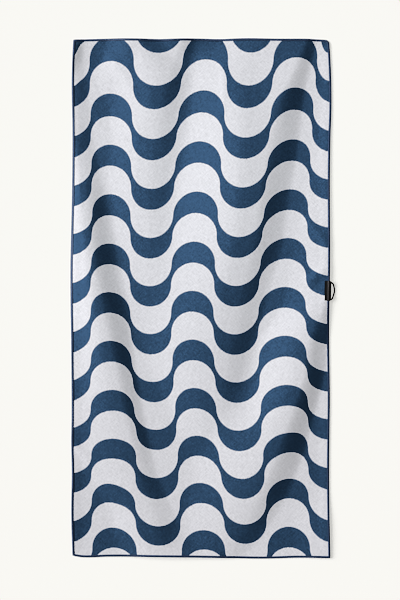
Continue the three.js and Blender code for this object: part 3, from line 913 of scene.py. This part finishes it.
def ribbed_finish(name, uv_map, colour, rib, roughness, stripe):
    """A tape or cord with ribs of this width across it, and a stripe where one is given.

    A stripe is the middle of its place across the tape, half its width, and its colour."""
    material, tree, shader = new_material(name)
    at = add_node(tree, "ShaderNodeUVMap", uv_map=uv_map).outputs[0]
    parts = add_node(tree, "ShaderNodeSeparateXYZ", {0: at}).outputs
    wave = maths(tree, "SINE", maths(tree, "MULTIPLY", parts[1], 2 * math.pi / rib))
    uneven = add_node(tree, "ShaderNodeTexNoise", {"Vector": at, "Scale": THREAD_NOISE}).outputs[0]
    height = maths(tree, "ADD", maths(tree, "MULTIPLY", wave, 0.5), uneven)
    # The noise's tone is random grain, and, since the same noise is in the bump, painted shade where
    # the bump is low and a painted highlight where it is high.
    tone = maths(tree, "MULTIPLY_ADD", uneven, THREAD_SHADE_AND_GRAIN, 1 - THREAD_SHADE_AND_GRAIN / 2)
    base = colour[:3]
    if stripe:
        where, half_width, stripe_colour = stripe
        aside = maths(tree, "ABSOLUTE", maths(tree, "SUBTRACT", parts[0], where))
        inside = maths(tree, "LESS_THAN", aside, half_width)
        base = add_node(tree, "ShaderNodeMix", {
            "Factor": inside, "A": colour, "B": stripe_colour,
        }, data_type="RGBA").outputs["Result"]
    bump = add_node(tree, "ShaderNodeBump", {
        "Height": height, "Strength": THREAD_BUMP, "Distance": THREAD_HEIGHT,
    })
    feed(tree, shader, {
        "Base Color": times_colour(tree, base, tone), "Normal": bump.outputs[0],
        "Roughness": roughness, "Specular IOR Level": TRIM_SHINE,
    })
    return material


# %% Tapes and cord
NAVY_TAPE = (0.018, 0.041, 0.098, 1)
BLACK_TAPE = (0.006, 0.006, 0.007, 1)
GREY_STRIPE = (0.11, 0.1, 0.11, 1)
BLACK_CORD = (0.008, 0.008, 0.009, 1)
STRIPE_FROM_END = 9.5 * mm
STRIPE_HALF = 1.6 * mm
STRIPE = (STRIPE_FROM_END - across_label[-1] / 2, STRIPE_HALF, GREY_STRIPE)
# A row is a piece, its finish's name, its UV map and colour, a rib's width, its roughness and a stripe.
TRIMMINGS = [
    (binding, "navy_tape", "tape", NAVY_TAPE, 1.3 * mm, 0.5, None),
    (label, "black_tape", "tape", BLACK_TAPE, 0.8 * mm, 0.6, STRIPE),
    (loop, "black_cord", "cord", BLACK_CORD, 1.0 * mm, 0.45, None),
]
for piece, *finish in TRIMMINGS:
    piece.data.materials.append(ribbed_finish(*finish))
    print(piece.name, "has the finish", piece.data.materials[0].name)

# %% [markdown]
# ## The pieces in place of the solids
#
# Each finished piece takes the place of one solid, which is hidden, and moves with the towel's one
# body. The towel is a laid sheet, whose flat size was 70 by 140.5 cm.

# %% Pieces and slots
PIECES = [
    (sheet, "towel_cloth", "cloth"),
    (binding, "edge_binding", "binding"),
    (label, "label_tab", "label"),
    (loop, "hanging_loop", "cord"),
]
for piece, node, slot in PIECES:
    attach(piece, "root")
    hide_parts(node)

# %% [markdown]
# ## Floor, light and camera
#
# The towel lies on a lit table, a plain surface that glows a little, as photographers use where the
# background has to come out clean. A picture of a real room could light it, but three plain lights are
# easier to steer. One broad window light from the left, quite low, draws the folds. A small soft light
# over the upper half makes the head a little brighter than the foot, and a pale sky fills the shadows.
# The camera looks straight down.

# %% Lit table
FLOOR_SIZE = 12
FLOOR_DROP = 0.2 * mm
FLOOR_COLOUR = (0.65, 0.643, 0.62, 1)
FLOOR_GLOW = 0.6
bpy.ops.object.select_all(action="DESELECT")
bpy.ops.mesh.primitive_plane_add(size=FLOOR_SIZE, location=(0, 0, 0))
floor = bpy.context.object
floor.name = "lit_table"
material, tree, shader = new_material("pale_table")
feed(tree, shader, {
    "Base Color": FLOOR_COLOUR, "Roughness": 1.0, "Specular IOR Level": 0.0,
    "Emission Color": FLOOR_COLOUR, "Emission Strength": FLOOR_GLOW,
})
floor.data.materials.append(material)
# The table lies a hair lower than the towel, so the two never show through each other.
for vertex in floor.data.vertices:
    vertex.co.z = -FLOOR_DROP
print("table: %d m square" % FLOOR_SIZE)

# %% Window light
SUN_FROM = math.radians(165)
SUN_HEIGHT = math.radians(27)
SUN_STRENGTH = 4.9
SUN_SOFTNESS = math.radians(46)
bpy.ops.object.light_add(type="SUN")
sun = bpy.context.object
sun.name = "window_light"
sun.data.energy = SUN_STRENGTH
sun.data.angle = SUN_SOFTNESS
towards_sun = Vector((
    math.cos(SUN_HEIGHT) * math.cos(SUN_FROM),
    math.cos(SUN_HEIGHT) * math.sin(SUN_FROM),
    math.sin(SUN_HEIGHT),
))
sun.rotation_euler = towards_sun.to_track_quat("Z", "Y").to_euler()
print("window light: %.0f degrees up" % math.degrees(SUN_HEIGHT))

# %% Light over the upper half
TOP_LIGHT_AT = (0, 0.33, 0.9)
TOP_LIGHT_SIZE = 0.5
TOP_LIGHT_WATTS = 1.6
TOP_LIGHT_COLOUR = (0.9, 1, 1)
bpy.ops.object.light_add(type="AREA", location=TOP_LIGHT_AT)
top_light = bpy.context.object
top_light.name = "top_light"
top_light.data.shape = "DISK"
top_light.data.size = TOP_LIGHT_SIZE
top_light.data.energy = TOP_LIGHT_WATTS
top_light.data.color = TOP_LIGHT_COLOUR
top_light.visible_camera = False
print("top light: %.1f W" % TOP_LIGHT_WATTS)

# %% Sky
SKY_STRENGTH = 0.22
SKY_COLOUR = (1, 0.992, 0.955, 1)
BACKDROP = 1.1
world = bpy.data.worlds.new("studio")
bpy.context.scene.world = world
world.use_nodes = True
sky = world.node_tree.nodes["Background"]
# The camera sees the sky, past the edge of the table, as a bright backdrop.
seen = add_node(world.node_tree, "ShaderNodeLightPath").outputs["Is Camera Ray"]
strength = maths(world.node_tree, "MULTIPLY_ADD", seen, BACKDROP - SKY_STRENGTH, SKY_STRENGTH)
feed(world.node_tree, sky, {"Strength": strength, "Color": SKY_COLOUR})
print("sky: strength", SKY_STRENGTH)

# %% Camera
CAMERA_HEIGHT = 4.517
CAMERA_AT = (-7.6 * mm, -4.0 * mm)
LENS = 100
SENSOR = 36
bpy.ops.object.camera_add(location=(*CAMERA_AT, CAMERA_HEIGHT), rotation=(0, 0, 0))
camera = bpy.context.object
camera.data.lens = LENS
camera.data.sensor_width = SENSOR
bpy.context.scene.camera = camera
bpy.context.scene.view_settings.view_transform = "Standard"
print("camera: %.2f m over the towel" % CAMERA_HEIGHT)

# %% [markdown]
# ## The tone of the picture
#
# A product picture is printed with more contrast in its dark tones and a clean, even background. The
# compositor does the same here. It leaves hue and saturation alone and passes only the brightness
# through a curve, steep in the navy, gentle in the off-white, and level at the top, so that the lit
# table comes out in one tone. Last comes a little sharpening, on the brightness as it is seen and not
# as the camera counts it, because otherwise dark edges would turn black.

# %% Tone curve
TONE = [
    (0.03, 0.012), (0.06, 0.029), (0.083, 0.044), (0.125, 0.112), (0.17, 0.236), (0.3, 0.376),
    (0.42, 0.48), (0.66, 0.678), (0.8, 0.80), (0.9, 0.88), (0.96, 0.93),
]
TOP_TONE = 0.947
scene = bpy.context.scene
scene.use_nodes = True
tree = scene.node_tree
tree.nodes.clear()
picture = add_node(tree, "CompositorNodeRLayers").outputs["Image"]
split = add_node(tree, "CompositorNodeSeparateColor", {"Image": picture}, mode="HSV").outputs
toned = add_node(tree, "CompositorNodeCurveRGB", {"Image": split[2]})
curve = toned.mapping.curves[3]
curve.points[0].location = (0, 0)
curve.points[-1].location = (1, TOP_TONE)
for place in TONE:
    curve.points.new(*place)
toned.mapping.extend = "HORIZONTAL"
toned.mapping.update()
joined = add_node(tree, "CompositorNodeCombineColor", {
    0: split[0], 1: split[1], 2: toned.outputs["Image"],
}, mode="HSV").outputs["Image"]
print("tone curve:", len(curve.points), "points")

# %% Sharpening
DISPLAY_GAMMA = 2.2
SHARPEN = 0.045
as_seen = add_node(tree, "CompositorNodeGamma", {"Image": joined, "Gamma": 1 / DISPLAY_GAMMA})
sharp = add_node(tree, "CompositorNodeFilter", {"Fac": SHARPEN, "Image": as_seen.outputs["Image"]})
sharp.filter_type = "SHARPEN"
as_counted = add_node(tree, "CompositorNodeGamma", {
    "Image": sharp.outputs["Image"], "Gamma": DISPLAY_GAMMA,
})
add_node(tree, "CompositorNodeComposite", {"Image": as_counted.outputs["Image"]})
print("compositor:", len(tree.nodes), "nodes")
